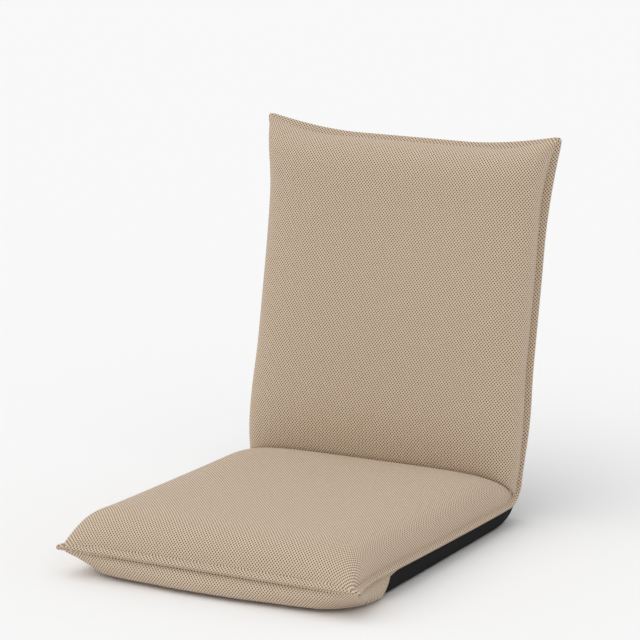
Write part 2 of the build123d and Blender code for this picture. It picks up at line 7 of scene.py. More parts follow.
# %% load the frame
import json
import math
import bpy
import numpy as np
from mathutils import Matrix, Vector


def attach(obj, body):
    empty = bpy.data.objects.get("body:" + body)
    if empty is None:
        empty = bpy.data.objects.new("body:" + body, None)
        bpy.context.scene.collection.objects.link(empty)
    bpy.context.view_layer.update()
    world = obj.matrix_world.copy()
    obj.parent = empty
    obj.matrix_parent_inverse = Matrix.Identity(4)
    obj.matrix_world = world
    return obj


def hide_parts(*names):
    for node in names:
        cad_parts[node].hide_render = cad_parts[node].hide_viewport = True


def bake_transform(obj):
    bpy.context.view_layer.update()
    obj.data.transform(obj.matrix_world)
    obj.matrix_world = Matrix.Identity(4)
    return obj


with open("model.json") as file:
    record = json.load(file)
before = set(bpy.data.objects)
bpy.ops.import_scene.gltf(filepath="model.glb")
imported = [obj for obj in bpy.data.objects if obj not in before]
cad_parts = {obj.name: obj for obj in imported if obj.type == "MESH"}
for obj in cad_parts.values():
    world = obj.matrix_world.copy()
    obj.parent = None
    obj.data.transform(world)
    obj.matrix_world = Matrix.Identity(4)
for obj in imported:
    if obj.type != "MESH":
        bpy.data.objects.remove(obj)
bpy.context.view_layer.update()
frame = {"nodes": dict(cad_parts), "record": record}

# %% [markdown]
# The camera comes first, so that every later look is through it. A camera can be set by eye, or worked
# out from straight seams whose lengths are known. This one was worked out: it is far off with a long
# lens, which is why the chair's parallel edges stay nearly parallel.

# %% camera
view_turn = math.radians(27.9)
view_pitch = math.radians(12.7)
view_target = Vector((-0.1164, 0.2897, 0.2879))
view_distance = 5.465
sensor = 36.0  # millimetres, like the lens
lens = 191.25
far_clip = 50
toward_camera = Vector((
    math.sin(view_turn) * math.cos(view_pitch),
    -math.cos(view_turn) * math.cos(view_pitch),
    math.sin(view_pitch),
))
camera = bpy.data.objects.new("camera", bpy.data.cameras.new("camera"))
bpy.context.scene.collection.objects.link(camera)
bpy.context.scene.camera = camera
camera.location = view_target + toward_camera * view_distance
camera.rotation_mode = "QUATERNION"
camera.rotation_quaternion = (-toward_camera).to_track_quat("-Z", "Y")
camera.data.lens = lens
camera.data.sensor_width = sensor
camera.data.clip_end = far_clip
print("camera at", [round(v, 3) for v in camera.location])

# %% [markdown]
# Seat and back are the same kind of pad. Each is described in its own plane: across, along from the
# hinge to the far edge, and height above the black base. One helper turns those three numbers into a
# place in the model, so a shape is written once and works for both halves. The hinge and the angle come
# from the CAD record. Lengths are millimetres until a mesh is made.

# %% the two planes
joints = {joint["name"]: joint for joint in frame["record"]["behaviour"]["joints"]}
hinge = np.array(joints["recline"]["pos_m"]) * 1000
fold_turn = math.radians(joints["recline"]["range_deg"][1])  # how far the outline turns at the fold
lean = math.pi / 2 - fold_turn  # of the back, from upright
mirror = np.array((-1.0, 1.0, 1.0))
plane = {
    "seat": (np.array((0.0, -1.0, 0.0)), np.array((0.0, 0.0, 1.0))),
    "backrest": (
        np.array((0.0, math.sin(lean), math.cos(lean))),
        np.array((0.0, -math.cos(lean), math.sin(lean))),
    ),
}
crease_slope = math.tan((math.pi - fold_turn) / 2)


def place(half, across, along, height):
    """Points of one half's plane as points of the model, in millimetres."""
    values = (np.asarray(v, float) for v in (across, along, height))
    across, along, height = np.broadcast_arrays(*values)
    forward, out = plane[half]
    return (
        hinge
        + across[..., None] * np.array((1.0, 0.0, 0.0))
        + along[..., None] * forward
        + (height - hinge[2])[..., None] * out
    )


print("fold turns", round(math.degrees(fold_turn), 1), "degrees")

# %% [markdown]
# The seam that joins mesh top and black base climbs towards the far edge and runs out into an ear at each
# far corner. The pad above it is a crowned form: steep soft sides, a rounded nose at the far edge, and
# a long roll down into the crease. These few curves are the chair's whole outline.

# %% measures of a pad
half_body = 227.0  # from the middle to the seam at the side
flange_width = 13.0
half_width = half_body + flange_width
seam_base = 31.0
full_rise = 63.0  # of the crown over the seam
roll_length, roll_drop = 130.0, 30.0  # the roll down into the crease
nose_length, nose_power = 75.0, 2.8
side_power = 5.0
corner_fall, corner_power = 0.6, 5  # how much lower the pad is where nose and side meet
bulge_power = 3  # the higher it is, the closer to the side the bulge stays
flare_length, flare_power = 110.0, 2.2
squeeze_at, squeeze_reach = 60.0, 45.0  # where the folded pads press each other and swell sideways
side_spread, far_spread = 3.5, 5.0  # the padding stands out over the flange by this much
swell_start, swell_length = 30.0, 190.0
pads = {
    "seat": {
        "reach": 581.0,  # from the hinge to the flange's far edge
        "climb": (60.0, 508.0, 9.5, 1.4),  # the seam's: where it starts, its length, rise and power
        "flare": (12.0, 6.0),  # of the seam at a far corner, sideways and lengthways
        "bulge": 1.0,  # of the steep side, outwards
        "squeeze": 2.0,
        "swell": 0.0,  # of seam and flange near the fold
        "ear": (17.0, 1.0),  # of the flange's outer edge, sideways and lengthways
        "ear_side": (100.0, 2.2),  # length and power of the ear's curve at the side
        "ear_end": (100.0, 2.2),  # and along the far edge
        "blunt": 2.2,  # how far the ear's tip is rounded
        "widening": 0.0,  # of the flange, away from the fold
    },
    "backrest": {
        "reach": 559.0,
        "climb": (335.4, 223.6, 15.3, 2.0),
        "flare": (16.0, 15.0),
        "bulge": 6.0,
        "squeeze": 3.0,
        "swell": 3.0,
        "ear": (21.0, 21.0),
        "ear_side": (160.0, 1.8),
        "ear_end": (140.0, 1.7),
        "blunt": 8.5,
        "widening": 1.5,
    },
}
print("pads reach", [pad["reach"] for pad in pads.values()], "mm from the hinge")


# %% outline of a pad
def far_seam(half):
    """How far from the hinge the seam runs across the far edge."""
    return pads[half]["reach"] - flange_width


def seam_height(half, along):
    """Height of the seam above the base."""
    start, length, rise, power = pads[half]["climb"]
    return seam_base + rise * np.clip((np.asarray(along, float) - start) / length, 0, 1.1) ** power


def low_swell(half, along):
    """The back is a little wider where it is squeezed against the seat."""
    share = np.clip((np.asarray(along, float) - swell_start) / swell_length, 0, 1)
    return pads[half]["swell"] * np.sin(math.pi * share) ** 2


def side_seam(half, along):
    """Half width of the seam's outline, which flares into the ears."""
    end = far_seam(half)
    share = np.clip((along - (end - flare_length)) / flare_length, 0, 1.2)
    return half_body + pads[half]["flare"][0] * share**flare_power + low_swell(half, along)


def end_seam(half, across):
    """Distance of the far seam from the hinge, which also flares into the ears."""
    share = np.clip((np.abs(across) - (half_body - flare_length)) / flare_length, 0, 1.3)
    return far_seam(half) + pads[half]["flare"][1] * share**flare_power


for half in pads:
    print(half, "seam", seam_height(half, 0), "to", round(float(seam_height(half, far_seam(half))), 1))

# %% [markdown]
# Cloth wants evenly spaced threads, so the columns and rows of the cover's mesh are spread by length along
# the curve they follow, and not by its coordinate. A steep side gets as many threads per centimetre as
# the flat top. The same lengths become the UV map, in metres, which carries the weave.


# %% even spacing
def run_length(curve):
    """Length along a curve, up to each of its points."""
    steps = np.linalg.norm(np.diff(curve, axis=0), axis=1)
    return np.concatenate([[0.0], np.cumsum(steps)])


def even(values, curve, count):
    """Values picked so that count points along the curve are equally far apart."""
    length = run_length(curve)
    return np.interp(np.linspace(0, length[-1], count), length, values)


def even_points(curve, count):
    """The same for the curve's own points."""
    return np.stack([even(column, curve, count) for column in curve.T], 1)


side_columns, nose_rows = 56, 26
fine = np.linspace(0, 1, 2001)
quarter = np.sin(fine * math.pi / 2) ** (2 / side_power)
wall = np.cos(fine * math.pi / 2) ** (2 / side_power)
side_curve = np.stack([quarter * half_body, wall * full_rise], 1)
right_share = even(quarter, side_curve, side_columns)
column_share = np.concatenate([-right_share[::-1], right_share[1:]])
column_wall = (1 - np.abs(column_share) ** side_power).clip(0) ** (1 / side_power)
nose_fall = full_rise * (1 - fine**nose_power) ** (1 / nose_power)
nose_share = even(fine, np.stack([fine * nose_length, nose_fall], 1), nose_rows)
print(len(column_share), "columns,", len(nose_share), "rows round a nose")


# %% a pad's upper surface
def surface(half, along):
    """The padded face over one row of columns: across, along and height."""
    pad = pads[half]
    rows = np.broadcast_to(np.asarray(along, float), column_share.shape)
    from_middle = np.abs(column_share)
    squeeze = pad["squeeze"] * np.exp(-(((rows - squeeze_at) / squeeze_reach) ** 2))
    across = column_share * (side_seam(half, rows) + side_spread + squeeze)
    edge = end_seam(half, across) + far_spread
    nose = np.clip((rows - edge + nose_length) / nose_length, 0, 1)
    roll = full_rise - roll_drop * (1 - rows / roll_length) ** 2
    crowned = full_rise * (1 - nose**nose_power) ** (1 / nose_power)
    lowered = (1 - corner_fall * from_middle**corner_power * nose**nose_power).clip(0)
    height = np.where(rows < roll_length, roll, crowned) * column_wall * lowered
    fade = 1 - np.clip((rows - (edge - flare_length)) / flare_length, 0, 1) ** 2
    share = height / full_rise
    swell = pad["bulge"] * fade * 4 * share * (1 - share) * from_middle**bulge_power
    return across + np.sign(across) * swell, rows, seam_height(half, rows) + height


def crossing(half):
    """Where each column meets the crease, by halving."""
    low = np.zeros_like(column_share)
    high = np.full_like(column_share, roll_length)
    halvings = 40
    for _ in range(halvings):
        middle = (low + high) / 2
        above = surface(half, middle)[2] - hinge[2] > middle * crease_slope
        low = np.where(above, middle, low)
        high = np.where(above, high, middle)
    return (low + high) / 2


for half in pads:
    print(half, "meets the crease", round(float(crossing(half).max()), 1), "mm from the hinge")

# %% [markdown]
# A face grid is the plainest way to hold cloth: rows and columns of points, each joined to its neighbours.
# It keeps the threads' direction for the weave, which a remeshed skin would lose.


# %% meshes from grids
def make_object(name, points, faces, threads):
    """A mesh object from points and thread lengths in millimetres, given as grids or as lists."""
    points = np.asarray(points).reshape(-1, 3)
    threads = np.asarray(threads).reshape(-1, 2)
    mesh = bpy.data.meshes.new(name)
    mesh.from_pydata([tuple(p) for p in points / 1000], [], faces)
    mesh.update()
    layer = mesh.uv_layers.new(name="threads")
    corners = np.zeros(len(mesh.loops), int)
    mesh.loops.foreach_get("vertex_index", corners)
    layer.data.foreach_set("uv", (threads[corners] / 1000).ravel().astype(np.float32))
    mesh.polygons.foreach_set("use_smooth", [True] * len(mesh.polygons))
    made = bpy.data.objects.new(name, mesh)
    bpy.context.scene.collection.objects.link(made)
    return made


def grid_faces(rows, columns, ring=False, closed=False):
    """Quads of a grid. ring joins the last column to the first, closed the last row to the first."""
    faces = []
    for i in range(rows if closed else rows - 1):
        for j in range(columns if ring else columns - 1):
            near, far = i * columns, (i + 1) % rows * columns
            beside = (j + 1) % columns
            faces.append((near + j, near + beside, far + beside, far + j))
    return faces


def end_faces(rows, columns):
    """The two faces that close the ends of a grid of rings."""
    last = (rows - 1) * columns
    return [tuple(range(columns))[::-1], tuple(range(last, last + columns))]


def thread_lengths(points, middle_row=0, middle_column=0):
    """Length along each row and each column, from the row and column in the middle."""
    across = np.linalg.norm(np.diff(points, axis=1), axis=2)
    along = np.linalg.norm(np.diff(points, axis=0), axis=2)
    u = np.pad(np.cumsum(across, axis=1), ((0, 0), (1, 0)))
    v = np.pad(np.cumsum(along, axis=0), ((1, 0), (0, 0)))
    u -= u[:, middle_column][:, None]
    v -= v[middle_row][None, :]
    return np.stack([u, v], 2)


# %% [markdown]
# ## Mesh cover
# On the real chair one piece of air mesh runs from the seat's front seam, over the seat, down into the
# crease and up over the back. Two covers that only met at the fold would show a slit, so it is one skin
# here as well: it dives almost a centimetre down the crease, turns and comes up the other side, with a
# rounded lip. Where the crease is shallow, at its ends, the lip and the tuck shrink with it.

# %% mesh cover
tuck_depth, tuck_gap = 9.0, 0.35
lip = 7.0
lip_share, tuck_share, bend_share = 0.7, 0.7, 0.5  # at most these shares of the crease's depth
bend_depth = tuck_depth * 0.6  # where the lip's bend ends in the tuck
row_spacing = 11.0
roll_rows, lip_rows = 12, 7
fitting_rounds = 3  # enough for a nose row to follow the far seam's flare


def pad_rows(half):
    """Rows of the cover from the far seam down into the crease, and the row the threads start from."""
    rows = []
    for share in nose_share[::-1]:
        before = nose_length * (1 - share)
        along = np.full_like(column_share, far_seam(half) - before)
        for _ in range(fitting_rounds):
            along = end_seam(half, surface(half, along)[0]) + far_spread - before
        rows.append(place(half, *surface(half, along)))
    flat_rows = round((far_seam(half) - nose_length - roll_length) / row_spacing)
    for share in np.linspace(1, 0, flat_rows)[1:]:
        rows.append(place(half, *surface(half, roll_length + share * (along - roll_length))))
    level_row = len(rows) - 1
    meeting = crossing(half)
    corner = np.stack(surface(half, meeting))
    depth = np.hypot(meeting, corner[2] - hinge[2])
    lip_start = meeting + np.minimum(lip, lip_share * depth)
    for share in np.linspace(1, 0, roll_rows + 1)[1:]:
        rows.append(place(half, *surface(half, lip_start + share * (roll_length - lip_start))))
    start = np.stack(surface(half, lip_start))
    down = np.array((0.0, math.cos(math.atan(crease_slope)), math.sin(math.atan(crease_slope))))
    side = np.array((0.0, tuck_gap * down[2], -tuck_gap * down[1]))[:, None]
    end = corner - down[:, None] * np.minimum(bend_depth, bend_share * depth) + side
    for share in np.linspace(0, 1, lip_rows + 1)[1:]:
        from_start, from_end = (1 - share) ** 2, share**2
        bend = from_start * start + 2 * share * (1 - share) * (corner + side * 0.5) + from_end * end
        rows.append(place(half, *bend))
    bottom = corner - down[:, None] * np.minimum(tuck_depth, tuck_share * depth) + side
    rows.append(place(half, *bottom))
    return np.array(rows), level_row


seat_rows, seat_level = pad_rows("seat")
back_rows, back_level = pad_rows("backrest")
cover_points = np.concatenate([seat_rows, back_rows[::-1]])
cover_rows, cover_columns = cover_points.shape[:2]
seat_threads = thread_lengths(seat_rows, seat_level, cover_columns // 2)
back_threads = thread_lengths(back_rows, back_level, cover_columns // 2)
cover_threads = np.concatenate([seat_threads, back_threads[::-1]])
pad_cover = make_object("pad_cover", cover_points, grid_faces(cover_rows, cover_columns), cover_threads)
print("cover", cover_rows, "rows by", cover_columns, "columns")

# %% [markdown]
# ## Seam flange
# All round the outline the seam allowances are wrapped in a strip of the same mesh, with a soft core. It
# is a ring of rounded sections along the seam. At the fold it takes a wide bend, since a padded strip
# can't turn sharply, and at the far corners it widens into blunt ears.

# %% flange edge
bend_radius = 42.0
bend_start = bend_radius * math.tan(fold_turn / 2)
thin, thick, ear_thick = 6.8, 8.6, 8.2  # the flange at the sides, the far edge and the ears
side_fill, far_fill = 5.5, 12.0  # how high its cloth is drawn up against the pad
ear_fill = 0.5  # the share of that left at an ear
ear_reach = 30.0
widening_length = 120.0
side_steps, end_steps = 900, 500


def soften(curve, reach):
    """A curve with its sharp corner rounded by a running average; its ends stay."""
    spread = int(reach * 3)  # a bell curve is level beyond three times its reach
    weights = np.exp(-0.5 * (np.arange(-spread, spread + 1) / reach) ** 2)
    weights /= weights.sum()
    before = 2 * curve[0] - curve[spread:0:-1]
    after = curve[-2:-spread - 2:-1] * np.array((-1.0, 1.0))
    padded = np.concatenate([before, curve, after])
    return np.stack([np.convolve(padded[:, k], weights, "valid") for k in (0, 1)], 1)


def outer_edge(half):
    """The flange's outer edge at the left, from the fold's bend to the middle of the far edge."""
    pad = pads[half]
    out, end = pad["ear"]
    length, power = pad["ear_side"]
    along = np.linspace(bend_start, pad["reach"] + end, side_steps)
    share = np.clip((along - (pad["reach"] - length)) / (length + end), 0, 1)
    widening = pad["widening"] * np.clip((along - bend_start) / widening_length, 0, 1)
    across = half_width + widening + low_swell(half, along) + out * share**power
    side = np.stack([across, along], 1)
    length, power = pad["ear_end"]
    across = np.linspace(across[-1], 0, end_steps)
    share = np.clip((across - (half_width - length)) / (length + out), 0, 1)
    far = np.stack([across, pad["reach"] + end * share**power], 1)
    whole = np.concatenate([side, far[1:]])
    return soften(even_points(whole, int(run_length(whole)[-1])), pad["blunt"])


for half in pads:
    print(half, "flange's edge is", round(2 * float(run_length(outer_edge(half))[-1])), "mm long")

# %% flange path
bend_stations = 14
seam_lap, bend_lap = 1.0, 2.0  # the flange starts this far inside the seam, along the sides and at the bend
past_edge = 20.0  # the seam rises no more, this far past the far edge


def flange_side(half, every=3):
    """The flange over one half's left side: inner edge, outer edge, thickness and fill as arrows."""
    edge = outer_edge(half)
    tip = int(np.argmax(edge.sum(1)))
    picked = np.unique(np.r_[0:len(edge):every, len(edge) - 1])
    from_tip = (picked - tip) / ear_reach
    far = np.clip(from_tip + 1.0, 0, 1)
    near_tip = np.exp(-(from_tip**2))
    plain = thin + (thick - thin) * far
    thickness = plain + (ear_thick - plain) * near_tip
    across, along = edge[picked].T
    reach = pads[half]["reach"]
    inner_across = np.minimum(across, side_seam(half, np.minimum(along, reach)))
    inner_along = np.minimum(along, end_seam(half, across))
    height = seam_height(half, np.minimum(along, reach + past_edge))
    outer = place(half, across, along, height)
    inner = place(half, inner_across - seam_lap, inner_along - seam_lap, height)
    out = plane[half][1]
    fill = (side_fill + (far_fill - side_fill) * far) * (1 - (1 - ear_fill) * near_tip)
    return inner, outer, out * thickness[:, None], out * fill[:, None]


def flange_bend():
    """The same round the fold on the left side, from the seat to the back."""
    angle = np.linspace(0, fold_turn, bend_stations + 2)[1:-1]
    along = bend_start - bend_radius * np.sin(angle)
    height = seam_base + bend_radius * (1 - np.cos(angle))
    outer = place("seat", half_width, along, height)
    inner = place("seat", half_body - bend_lap, along, height)
    up = np.stack([0 * angle, -np.sin(angle), np.cos(angle)], 1)
    return inner, outer, up * thin, up * side_fill


runs = zip(flange_side("seat"), flange_bend(), flange_side("backrest"))
left_run = [np.concatenate([seat_part[::-1], bend, back_part]) for seat_part, bend, back_part in runs]
flange_path = [np.concatenate([side[:-1], (side * mirror)[:0:-1]]) for side in left_run]
print("flange path has", len(flange_path[0]), "stations")

# %% flange
section_power = 2.6  # 2 would be an ellipse, more is squarer
section_steps = 22


def flange_rings(path):
    """Rounded sections along the path, drawn up against the pad at their inner edge."""
    inner, outer, up, rise = path
    turn = np.linspace(0, 2 * math.pi, section_steps, endpoint=False)
    wide, high = (np.sign(v) * np.abs(v) ** (2 / section_power) for v in (np.cos(turn), np.sin(turn)))
    drawn = ((1 - wide) / 2) ** 2 * high.clip(0)
    return (
        ((inner + outer) / 2)[:, None]
        + (outer - inner)[:, None] / 2 * wide[None, :, None]
        + up[:, None] * high[None, :, None] / 2
        + rise[:, None] * drawn[None, :, None]
    )


rings = flange_rings(flange_path)
ring_threads = thread_lengths(rings)
ring_threads[..., 1] = ring_threads[..., 1].mean(1)[:, None]
ring_faces = [f[::-1] for f in grid_faces(len(rings), section_steps, ring=True, closed=True)]
seam_flange = make_object("seam_flange", rings, ring_faces, ring_threads)
print("flange has", len(ring_faces), "faces")

# %% [markdown]
# ## Black base cover
# Under the seat, round the outer corner and up behind the back the cover is black woven cloth, stretched
# tight over the frame. Its cross-section is a shallow tray: two short side walls and a flat bottom with a
# folded edge. The tray is drawn at stations along the chair; round the outer corner the side edges are
# softer, because the cloth is pulled over the bend there.

# %% section of the base cover
cap_start = {"seat": 434.0, "backrest": 454.0}
cap_overlap = 27.5  # how far the cloth runs on inside an end cap
corner_radius = 51.0
side_radius = 110.0  # of the corner as seen along its side edge
corner_start = corner_radius / math.tan((math.pi - fold_turn) / 2) - hinge[2] * math.tan(fold_turn / 2)
side_start = (side_radius - hinge[2]) * math.tan(fold_turn / 2)
edge_fold = {"seat": 3.5, "backrest": 8.5}
corner_edge = 15.0
edge_gap = 1.5  # the least depth of the folded edge
wall_bulge = 1.0
straight_stations, curved_stations, corner_stations = 28, 12, 15
straight_end = 8.0  # the straight stations stop this far before the curved ones
wall_steps, fold_steps, bottom_steps = 6, 8, 8  # of half a station's outline


def tray_section(half, base, top, edge_across, edge_depth, wall_across):
    """One station of the tray, from the left seam to the right one. base and top are (along, height)."""
    base, top = np.array(base), np.array(top)
    depth = np.linalg.norm(top - base)
    inward = (top - base) / depth
    points = []
    for share in np.linspace(0, 1, wall_steps + 1)[:-1]:
        bulge = wall_bulge * math.sin(math.pi * min(1.0, share * 1.1))
        points.append((wall_across + bulge, depth + (edge_depth - depth) * share))
    for turn in np.linspace(0, math.pi / 2, fold_steps + 1):
        fold = edge_across * (1 - math.cos(turn))
        points.append((wall_across - fold, edge_depth * (1 - math.sin(turn))))
    for share in np.linspace(0, 1, bottom_steps + 1)[1:]:
        points.append(((wall_across - edge_across) * (1 - share), 0.0))
    points = points + [(-across, inset) for across, inset in points[-2::-1]]
    return np.array([place(half, across, *(base + inward * inset)) for across, inset in points])


print("the corner starts", round(corner_start, 1), "and", round(side_start, 1), "mm from the hinge")


# %% base cover
def side_depth(along):
    """How deep the side edge's outline lies above the base line, near the corner."""
    inside = max(0.0, side_start - along)
    return side_radius - math.sqrt(side_radius**2 - inside**2)


def tray_rows(half):
    """Stations along the straight part of one half, from the cap to the corner."""
    rows = []
    fold = edge_fold[half]
    stations = np.concatenate([
        np.linspace(cap_start[half] + cap_overlap, side_start + straight_end, straight_stations),
        np.linspace(side_start, corner_start, curved_stations),
    ])
    for along in stations:
        share = float(np.clip((side_start - along) / (side_start - corner_start), 0, 1))
        top = (along + (bend_start - corner_start) * share**2, float(seam_height(half, along)))
        edge_across = fold + (corner_edge - fold) * share
        edge_depth = max(fold, side_depth(along) + edge_gap)
        wall_across = float(side_seam(half, along))
        rows.append(tray_section(half, (along, 0.0), top, edge_across, edge_depth, wall_across))
    return rows


def corner_rows():
    """Stations round the outer corner."""
    rows = []
    for turn in np.linspace(0, fold_turn, corner_stations + 2)[1:-1]:
        forth, up = math.sin(turn), 1 - math.cos(turn)
        base = (corner_start - corner_radius * forth, corner_radius * up)
        top = (bend_start - bend_radius * forth, seam_base + bend_radius * up)
        near = min(turn, fold_turn - turn)
        on_side = side_depth(corner_start - corner_radius * math.sin(near))
        edge_depth = max(on_side - corner_radius * (1 - math.cos(near)), 0) + edge_gap
        rows.append(tray_section("seat", base, top, corner_edge, edge_depth, half_body))
    return rows


tray = np.array(tray_rows("seat") + corner_rows() + tray_rows("backrest")[::-1])
tray_faces = [f[::-1] for f in grid_faces(*tray.shape[:2])]
tray_threads = thread_lengths(tray, 0, tray.shape[1] // 2)
base_cover = make_object("base_cover", tray, tray_faces, tray_threads)
print("base cover", tray.shape[:2])

# %% [markdown]
# ## End caps
# Under the seat's front edge, and behind the back's top edge, the base is mesh instead of black cloth. Each
# cap hangs from the seam, bulges a little and turns under. Seen from below its outline has round corners
# while the seam above runs out to the ears, so the cap's corners slope inwards like a boat's bow. Where
# it meets the black cloth it laps over it with a hem, and this joint leans.

# %% measures of the caps
caps = {
    "seat": {
        "floor": [  # across and along, from the joint round the corner to the middle
            (227.0, 434.0), (227.0, 474.0), (225.5, 500.0), (220.5, 519.0), (210.5, 537.0), (198.0, 549.5),
            (180.0, 558.5), (150.0, 563.5), (100.0, 566.5), (54.0, 571.0), (0.0, 571.5),
        ],
        "turned_in": 9.0,  # height at which the wall turns under
        "foot": 1.1,  # how far the wall stands out there, as a share of that height
        "belly": 7.0,  # how far the wall bulges
        "raised": 2.4,  # how far the lower edge lifts off the base
    },
    "backrest": {
        "floor": [
            (224.0, 454.0), (223.0, 466.0), (219.0, 479.0), (212.0, 490.0), (201.0, 500.0), (188.0, 508.0),
            (172.0, 514.0), (150.0, 518.5), (120.0, 521.0), (60.0, 521.5), (0.0, 521.5),
        ],
        "turned_in": 12.0,
        "foot": 0.8,
        "belly": 5.0,
        "raised": 0.0,
    },
}
joint_turned_in, joint_belly = 3.5, 2.5  # turned_in and belly at the joint with the black cloth
joint_drop = (0.0, 6.0, 7.5, 14.0, 37.0)  # below the seam
joint_slant = (-20.0, -18.0, 5.0, 10.0, 26.0)  # it leans, and a tongue of mesh runs on under the flange
slant_stations, round_stations = 10, 12  # over which the slant and the joint's own measures fade
raise_from, raise_over = 6, 24  # stations over which the lower edge lifts
cap_reach = 4.0  # how far the cap stands out under the flange
cap_top = 1.0  # its upper edge lies this far below the seam
tuck_under = 16.0  # how far its edge runs in under the base
lap = 0.5  # the mesh lies over the black cloth by this much
hem_depth = 5.0  # how far it folds in at the joint
wall_power = 1.3  # the wall slopes inwards more towards its foot
wall_points, turn_points, under_points = 12, 6, 3
curve_steps, smoothing_rounds = 400, 60
seam_steps, past_corner = 300, 12.0
print("the cloths meet", list(cap_start.values()), "mm from the hinge")


# %% outlines of the caps
def spaced(corners, count):
    """A smooth curve through corners, with count points evenly far apart."""
    curve = even_points(np.asarray(corners, float), curve_steps)
    for _ in range(smoothing_rounds):
        curve[1:-1] = (curve[:-2] + 2 * curve[1:-1] + curve[2:]) / 4
    return even_points(curve, count)


def cap_seam(half):
    """The seam's outline above a cap: the side from the joint on, and the far edge to the middle."""
    along = np.linspace(cap_start[half], far_seam(half) + past_corner, seam_steps)
    across = side_seam(half, along)
    side = np.stack([across, along], 1)[along < end_seam(half, across)]
    far_across = np.linspace(side[-1, 0], 0, seam_steps)
    return side, np.stack([far_across, end_seam(half, far_across)], 1)


for half in caps:
    print(half, "cap's seam", [round(float(run_length(part)[-1])) for part in cap_seam(half)], "mm")


# %% end caps
def cap_row(cap, station, upper, lower, outward, wall_top):
    """One station of a cap, from the seam down and under, as across, along and height."""
    share = float(np.clip(station / round_stations, 0, 1))
    turned = joint_turned_in + (cap["turned_in"] - joint_turned_in) * share
    raised = cap["raised"] * float(np.clip((station - raise_from) / raise_over, 0, 1))
    belly = joint_belly + (cap["belly"] - joint_belly) * share
    foot = lower + outward * turned * cap["foot"]
    points = []
    for step in np.linspace(0, 1, wall_points):
        flat = upper + (foot - upper) * step**wall_power
        flat = flat + outward * belly * math.sin(math.pi * min(1.0, step * 0.98))
        points.append((*flat, wall_top + (turned - wall_top) * step))
    for turn in np.linspace(0, math.pi / 2, turn_points + 1)[1:]:
        inward = lower - outward * raised * 0.5 + (flat - lower) * math.cos(turn)
        points.append((*inward, raised + (turned - raised) * (1 - math.sin(turn))))
    for step in np.linspace(0, 1, under_points + 1)[1:]:
        under = lower - outward * (raised * 0.5 + tuck_under * share * step)
        points.append((*under, raised - (raised + lap) * step))
    points = np.array(points)
    slant = max(0.0, 1 - station / slant_stations)
    points[:, 1] += slant * np.interp(wall_top - points[:, 2], joint_drop, joint_slant)
    return points


def cap_mesh(half, name, count=90):
    """A cap as rows round the outline, with a flat underside and a hem along the joint."""
    floor = spaced(caps[half]["floor"], count)
    side, far = cap_seam(half)
    corner = int(np.argmax(floor[:, 0] / half_body + floor[:, 1] / floor[:, 1].max()))
    top = np.concatenate([spaced(side, corner + 1), spaced(far, count - corner)[1:]])
    tangent = np.gradient(floor, axis=0)
    outward = np.stack([tangent[:, 1], -tangent[:, 0]], 1)
    outward /= np.linalg.norm(outward, axis=1)[:, None]
    upper = top + outward * cap_reach
    wall_top = seam_height(half, top[:, 1]) - cap_top
    measures = zip(upper, floor, outward, wall_top)
    rows = [cap_row(caps[half], station, *measured) for station, measured in enumerate(measures)]
    rise = hem_depth * (1 - rows[0][:, 2] / wall_top[0]).clip(0, 1) ** 2
    hem = rows[0] + np.stack([np.full(len(rise), -hem_depth), 0 * rise, rise], 1)
    left = np.array([hem, *rows])
    whole = np.concatenate([left, (left * mirror)[-2::-1]])
    stations, levels = whole.shape[:2]
    grid = place(half, *np.moveaxis(whole, -1, 0))
    threads = thread_lengths(grid, stations // 2, 0)[..., ::-1].reshape(-1, 2)
    # The underside has vertices of its own, because its weave runs straight and it is flat.
    flat = whole[1:-1, -1]
    flat = np.concatenate([flat, flat[[-1, 0]] + np.array((0, 0, hem_depth))])
    first, last = stations * levels, stations * levels + len(flat) - 1
    faces = grid_faces(stations, levels)
    underside = [tuple(range(first, last - 1)), (last - 2, last - 1, last, first)]
    points = np.concatenate([grid.reshape(-1, 3), place(half, *flat.T)])
    made = make_object(name, points, faces + underside, np.concatenate([threads, flat[:, :2]]))
    for face in made.data.polygons[len(faces):]:
        face.use_smooth = False
    return made


front_cap = cap_mesh("seat", "front_cap")
top_cap = cap_mesh("backrest", "top_cap")
print("caps", len(front_cap.data.polygons), len(top_cap.data.polygons), "faces")

# %% [markdown]
# ## Foam
# The thick block gives the pad its form, so it has the cover's own shape, a lining's thickness smaller,
# and a flat underside that rests on the straps. A thin tray of the same foam lies under the frame and
# folds up round it as a rim, so that no tube is felt through the black cloth.

# %% foam blocks
lining = 1.5
foam_floor = 28.2
least_foam = 0.6
roll_back = 0.9  # in the roll the blocks lie this much further from the fold than the cover
ear_room = 4.0  # the blocks don't run out into the ears
fold_room = 22.0  # the blocks stop short of the fold, so that they clear each other at every step
under_side, under_far = 12.0, 18.0  # the underside is smaller than the block by this much


def foam_block(half, name):
    """A closed block under one half's cover."""
    forward, out = plane[half]
    local = pad_rows(half)[0][1:-1] - hinge
    along = local @ forward
    widest = half_body + ear_room
    across = (local[..., 0] * (1 - lining / half_body)).clip(-widest, widest)
    height = np.maximum(local @ out + hinge[2] - lining, foam_floor + least_foam)
    in_roll = along.round(3) < roll_length
    along = np.minimum(along, far_seam(half) + far_spread - lining) + roll_back * in_roll
    near = np.clip((roll_length - along) / roll_length, 0, 1)
    along = along + fold_room * near
    across = across * (1 - near * fold_room / half_body)
    upper = place(half, across, along, height)
    low_across = across.clip(under_side - half_body, half_body - under_side)
    low_along = np.minimum(along, far_seam(half) - under_far)
    lower = place(half, low_across[:, ::-1], low_along[:, ::-1], foam_floor)
    loops = np.concatenate([upper, lower], axis=1)
    rows, columns = loops.shape[:2]
    faces = grid_faces(rows, columns, ring=True) + end_faces(rows, columns)
    return make_object(name, loops, faces, thread_lengths(loops))


